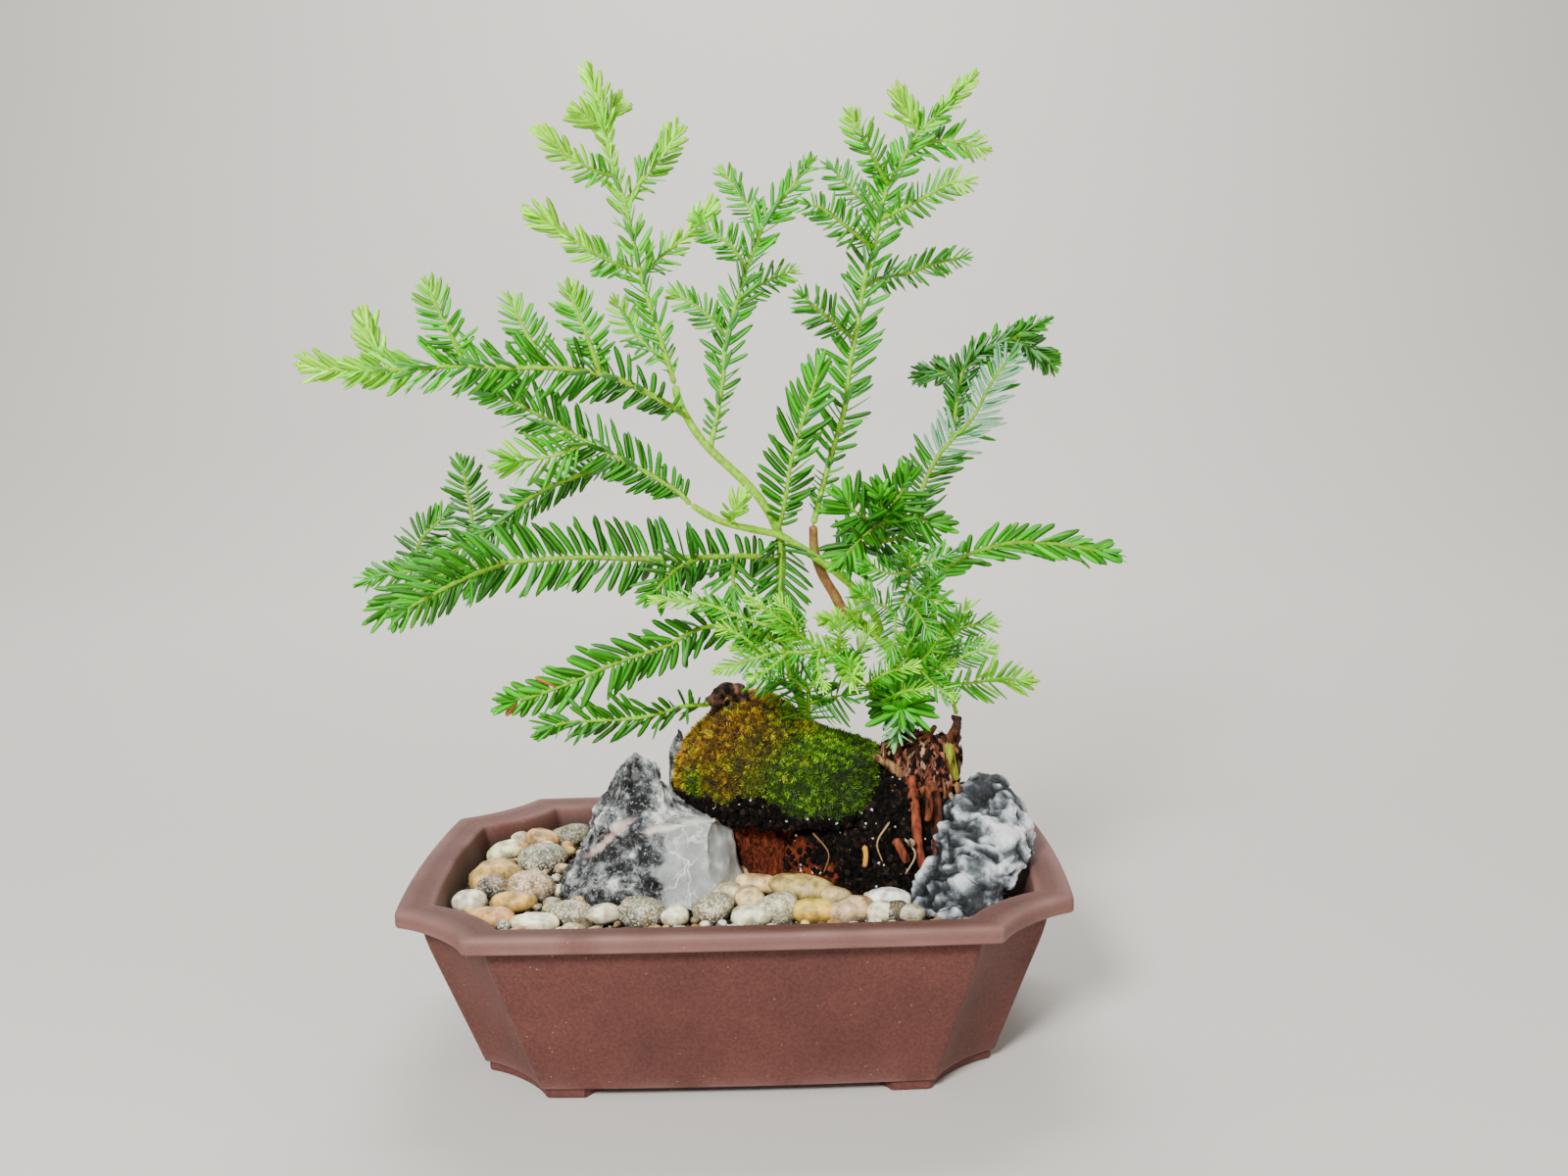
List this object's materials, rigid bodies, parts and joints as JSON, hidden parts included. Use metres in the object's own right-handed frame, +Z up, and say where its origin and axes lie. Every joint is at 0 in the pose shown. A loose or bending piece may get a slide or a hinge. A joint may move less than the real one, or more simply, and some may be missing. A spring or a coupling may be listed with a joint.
{
  "type": "bonsai tree",
  "caption": "Young coast redwood bonsai with two stems on a mossy burl, planted with rocks and river gravel in a notched-corner stoneware pot.",
  "frame": {"origin": "middle of the pot at the underside of its feet, where the pot stands", "axes": "+Z up the tree, +X along the pot's long side towards the stump and the right-hand rock, and -Y out of the side that the tree is looked at from"},
  "size_m": [0.328, 0.188, 0.3861],
  "materials": {
    "stoneware": "unglazed fired clay, matt",
    "mesh_plastic": "black moulded plastic",
    "potting_soil": "dark loose soil",
    "river_gravel": "washed river pebbles, matt to satin",
    "marbled_limestone": "rough grey stone with white veins",
    "slate": "rippled dark grey stone",
    "burl_bark": "fibrous reddish-brown bark",
    "black_peat": "crumbly black soil with white specks",
    "moss_green": "velvety cushion moss",
    "stump_wood": "weathered reddish-brown bark and wood",
    "stem_bark": "smooth yellow-green to brown young bark",
    "dead_wood": "charred, dry wood",
    "needle_dark": "dark green needles with a soft sheen",
    "needle_mid": "mid-green needles with a soft sheen",
    "needle_new": "lime-green new needles",
    "needle_silver": "needles turned to their pale silvery undersides"
  },
  "bodies": {
    "root": {"arching_right": "needle_dark", "branch_left_high": "needle_mid", "branch_left_long": "needle_dark", "branch_left_low": "needle_dark", "branch_left_mid": "needle_dark", "burl": "burl_bark", "cluster_mid": "needle_dark", "dark_spray_high": "needle_dark", "dead_stub": "dead_wood", "drain_screen_left": "mesh_plastic", "drain_screen_right": "mesh_plastic", "droop_centre": "needle_dark", "fan_centre": "needle_mid", "fan_left_high": "needle_new", "fern_left_back": "needle_dark", "fern_left_high": "needle_mid", "fern_left_low": "needle_dark", "fern_right_high": "needle_mid", "fern_right_low": "needle_dark", "fresh_left_mid": "needle_new", "gravel": "river_gravel", "leader_left": "needle_mid", "leader_left_tip": "needle_new", "leader_middle": "needle_mid", "leader_right": "needle_mid", "leader_right_tip": "needle_new", "moss": "moss_green", "new_shoot_high": "needle_new", "new_tip_crown": "needle_new", "new_tip_far_left": "needle_new", "new_tip_high_left": "needle_new", "new_tip_inner": "needle_new", "pale_centre": "needle_new", "pale_inner": "needle_new", "pale_right_low": "needle_new", "pot": "stoneware", "rock_left": "marbled_limestone", "rock_right": "slate", "rock_sliver": "marbled_limestone", "root_ball": "black_peat", "rosette_centre": "needle_new", "rosette_right": "needle_silver", "shoot_blue": "needle_silver", "shoot_moss": "needle_dark", "shoot_right": "needle_mid", "silver_cluster": "needle_silver", "silver_spray": "needle_silver", "soil": "potting_soil", "spray_bottom_left": "needle_mid", "spray_lower_left": "needle_dark", "spray_right_base": "needle_dark", "stem_crossing": "stem_bark", "stump": "stump_wood", "tip_left_high": "needle_new", "trunk_left": "stem_bark", "trunk_right": "stem_bark", "trunk_stub": "dead_wood", "tuft_crossing": "needle_new", "tuft_right": "needle_mid"}
  },
  "joints": []
}
